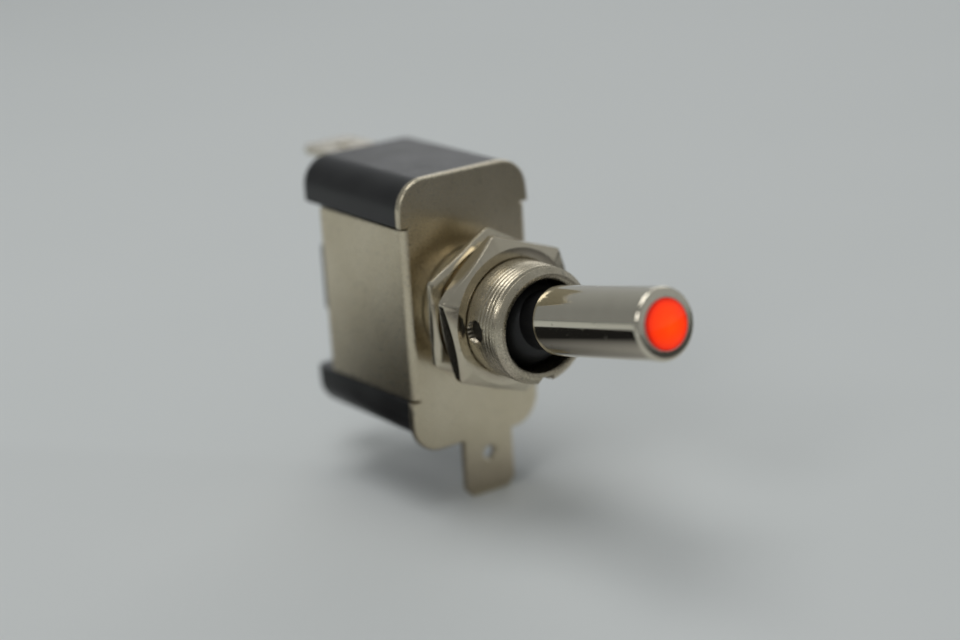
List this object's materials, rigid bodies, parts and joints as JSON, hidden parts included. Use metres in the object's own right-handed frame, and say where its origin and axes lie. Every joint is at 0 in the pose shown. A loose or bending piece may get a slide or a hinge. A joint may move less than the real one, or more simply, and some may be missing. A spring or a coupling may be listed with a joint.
{
  "type": "toggle switch",
  "caption": "Panel-mount on-off toggle switch with a threaded bushing, hex nuts, a round metal lever with a lit red tip, a folded metal frame and blade terminals.",
  "frame": {"origin": "on the bushing's axis, at the front face of the mounting plate", "axes": "-Y along the bushing, towards the lever's tip; +Z along the plate's long side, away from the ground blade; +X to the right seen from the front"},
  "size_m": [0.0164, 0.0575, 0.0354],
  "materials": {
    "frame_nickel": "satin nickel plate",
    "bushing_nickel": "nickel plate on a turned thread",
    "nut_nickel": "bright nickel plate",
    "body_plastic": "semi-matte black moulding",
    "terminal_metal": "tin-plated brass",
    "rivet_brass": "plain brass",
    "contact_silver": "silver alloy",
    "lever_plastic": "black moulding",
    "lever_chrome": "polished chrome",
    "lens_red": "lit red lens",
    "led_clear": "tinted epoxy",
    "wire_insulation": "thin insulation",
    "pin_steel": "plain steel",
    "plunger_plastic": "natural acetal",
    "spring_steel": "drawn wire",
    "resistor_body": "lacquered"
  },
  "bodies": {
    "switch_body": {"mounting_frame": "frame_nickel", "threaded_bushing": "bushing_nickel", "left_pivot_pin": "pin_steel", "right_pivot_pin": "pin_steel", "housing": "body_plastic", "load_terminal": "terminal_metal", "power_terminal": "terminal_metal", "load_rivet": "rivet_brass", "power_rivet": "rivet_brass", "fixed_contact": "contact_silver", "rocker_saddle": "rivet_brass", "series_resistor": "resistor_body", "resistor_wires": "wire_insulation", "ground_wire": "wire_insulation"},
    "rear_nut": {"rear_nut": "nut_nickel"},
    "front_nut": {"front_nut": "nut_nickel"},
    "lever": {"lever_core": "lever_plastic", "lever_sleeve": "lever_chrome", "led_lens": "lens_red", "led_body": "led_clear", "led_leads": "wire_insulation", "plunger_spring": "spring_steel"},
    "plunger": {"plunger": "plunger_plastic"},
    "rocker": {"rocker_contact": "rivet_brass", "moving_contact": "contact_silver"}
  },
  "joints": [
    {"name": "lever_toggle", "type": "hinge", "parent": "switch_body", "child": "lever", "pos_m": [0, -0.00887, 0], "axis": [1, 0, 0], "range_deg": [0, 21.8], "stiffness_Nm_per_rad": -0.006, "springref_deg": 10.9},
    {"name": "rocker_tilt", "type": "hinge", "parent": "switch_body", "child": "rocker", "pos_m": [0, 0.0122, 0], "axis": [-1, 0, 0], "range_deg": [0, 12]},
    {"name": "plunger_slide", "type": "slide", "parent": "lever", "child": "plunger", "axis": [0, -0.982, 0.1891], "range_m": [0, 0.0008], "stiffness_N_per_m": 50, "deforming": ["plunger_spring"]},
    {"name": "rear_nut_spin", "type": "hinge", "parent": "switch_body", "child": "rear_nut", "pos_m": [0, -0.0036, 0], "axis": [0, -1, 0], "continuous": true},
    {"name": "front_nut_spin", "type": "hinge", "parent": "switch_body", "child": "front_nut", "pos_m": [0, -0.00643, 0], "axis": [0, -1, 0], "continuous": true}
  ],
  "couplings": [
    {"joint": "rocker_tilt", "follows": "lever_toggle", "ratio": 0.55046}
  ]
}
